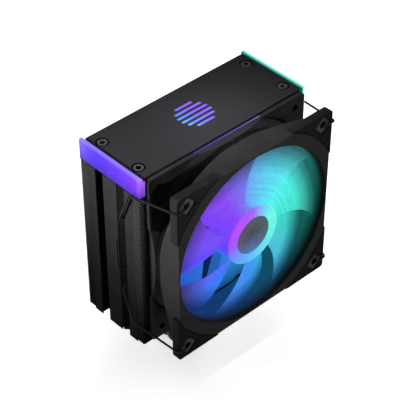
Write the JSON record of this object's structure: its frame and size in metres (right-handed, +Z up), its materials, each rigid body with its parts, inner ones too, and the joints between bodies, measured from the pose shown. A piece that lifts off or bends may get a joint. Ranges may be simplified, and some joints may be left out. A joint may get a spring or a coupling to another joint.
{
  "type": "cpu tower cooler",
  "caption": "Tower cooler: stacked fins on heat pipes over a contact block, with a clipped-on lit axial fan, a lit top cover and tapped holes for a mounting bracket.",
  "frame": {"origin": "centre of the contact face that rests on the processor's lid", "axes": "+Z up, away from the processor and along the heat pipes' legs; the fan is on the -Y side and blows towards +Y; +X is to the right seen from the fan's side"},
  "size_m": [0.1374, 0.0779, 0.1584],
  "materials": {
    "milled_block": "milled, fine straight tool marks",
    "pipe_black": "black plated copper, milled flat underneath",
    "fin_black": "thin black coating, satin",
    "tray_black": "moulded, fine grain",
    "board_green": "coated circuit board",
    "led_white": "LED package",
    "light_sheet": "clear, edge lit",
    "cover_charcoal": "dark anodised, fine satin",
    "window_light": "milky, lit from behind",
    "dark_screw": "dark plated",
    "left_light": "milky, lit blue violet",
    "right_light": "milky, lit mint",
    "frame_black": "moulded, satin",
    "pad_rubber": "soft, matt",
    "impeller_milk": "milky, lit from the hub",
    "cap_grey": "satin",
    "motor_steel": "plain",
    "magnet_dark": "bonded ferrite",
    "bearing_bronze": "sintered, oiled",
    "winding_copper": "lacquered wire",
    "seal_grey": "plain foil",
    "clip_black": "black coated spring wire"
  },
  "bodies": {
    "cooler": {"contact_block": "milled_block", "heat_pipe_1": "pipe_black", "heat_pipe_2": "pipe_black", "heat_pipe_3": "pipe_black", "heat_pipe_4": "pipe_black", "fins": "fin_black", "cover_tray": "tray_black", "light_board": "board_green", "cover_leds": "led_white", "light_sheet": "light_sheet", "cover_plate": "cover_charcoal", "window_lenses": "window_light", "cover_screws": "dark_screw", "left_light_bar": "left_light", "right_light_bar": "right_light", "fan_frame": "frame_black", "front_pad_top_left": "pad_rubber", "front_pad_top_right": "pad_rubber", "front_pad_bottom_left": "pad_rubber", "front_pad_bottom_right": "pad_rubber", "rear_pad_top_left": "pad_rubber", "rear_pad_top_right": "pad_rubber", "rear_pad_bottom_left": "pad_rubber", "rear_pad_bottom_right": "pad_rubber", "bearing_sleeve": "bearing_bronze", "bearing_cap": "tray_black", "stator_core": "motor_steel", "stator_windings": "winding_copper", "fan_board": "board_green", "fan_leds": "led_white", "motor_seal": "seal_grey"},
    "rotor": {"impeller": "impeller_milk", "hub_cap": "cap_grey", "rotor_yoke": "motor_steel", "rotor_magnet": "magnet_dark", "rotor_shaft": "motor_steel", "shaft_retainer": "cap_grey"},
    "left_clip": {"left_fan_clip": "clip_black"},
    "right_clip": {"right_fan_clip": "clip_black"}
  },
  "joints": [
    {"name": "impeller_spin", "type": "hinge", "parent": "cooler", "child": "rotor", "pos_m": [0, -0.0386, 0.0971], "axis": [0, 1, 0], "continuous": true},
    {"name": "left_clip_swing", "type": "hinge", "parent": "cooler", "child": "left_clip", "pos_m": [-0.0525, -0.052, 0.0971], "axis": [0, 0, 1], "range_deg": [0, 14], "stiffness_Nm_per_rad": 0.3},
    {"name": "right_clip_swing", "type": "hinge", "parent": "cooler", "child": "right_clip", "pos_m": [0.0525, -0.052, 0.0971], "axis": [0, 0, -1], "range_deg": [0, 14], "stiffness_Nm_per_rad": 0.3}
  ]
}
